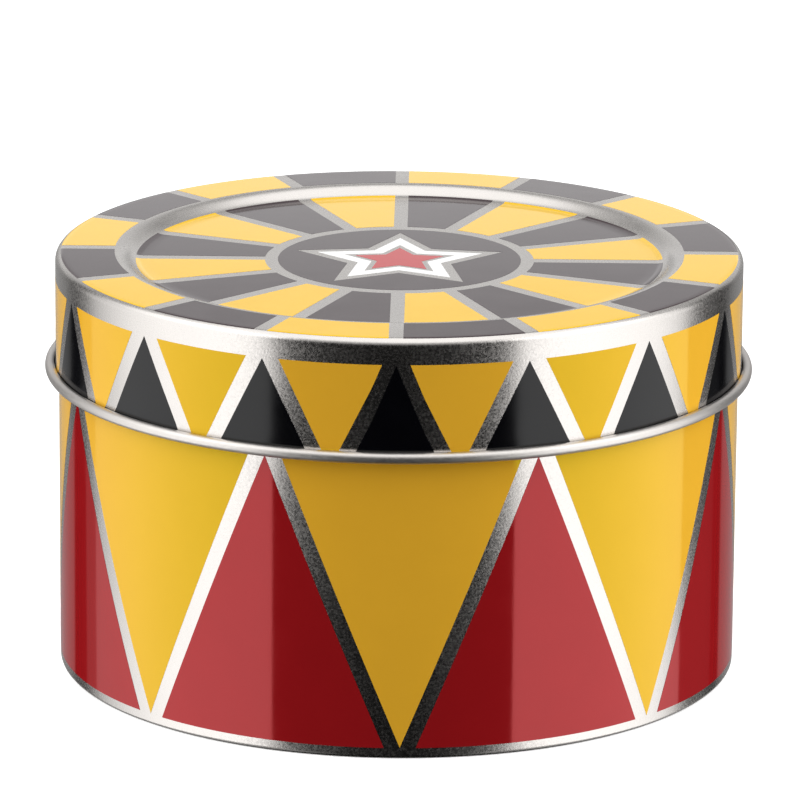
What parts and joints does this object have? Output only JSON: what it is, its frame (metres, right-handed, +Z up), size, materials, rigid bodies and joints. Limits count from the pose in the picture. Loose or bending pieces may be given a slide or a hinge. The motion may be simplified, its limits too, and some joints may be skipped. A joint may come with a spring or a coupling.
{
  "type": "round lift-off lid tin",
  "caption": "Round printed tinplate storage tin with a deep lift-off cap lid, rolled edges and a stepped lid panel.",
  "frame": {"origin": "centre of the standing face, on the surface the tin stands on", "axes": "+Z up along the tin's axis, -Y towards the front, +Y towards the side seam, +X to the right seen from the front"},
  "size_m": [0.1588, 0.1588, 0.0942],
  "materials": {
    "body_print": "gloss lithographed ink in red and yellow over tinplate",
    "lid_print": "gloss lithographed ink in yellow and black over tinplate",
    "bare_tinplate": "lacquered bare tinplate, fine grained and semi-bright"
  },
  "bodies": {
    "can": {"body_wall": "body_print", "base_end": "bare_tinplate"},
    "lid": {"lid": "lid_print"}
  },
  "joints": [
    {"name": "lid_lift", "type": "slide", "parent": "can", "child": "lid", "axis": [0, 0, 1], "range_m": [0, 0.08]}
  ]
}
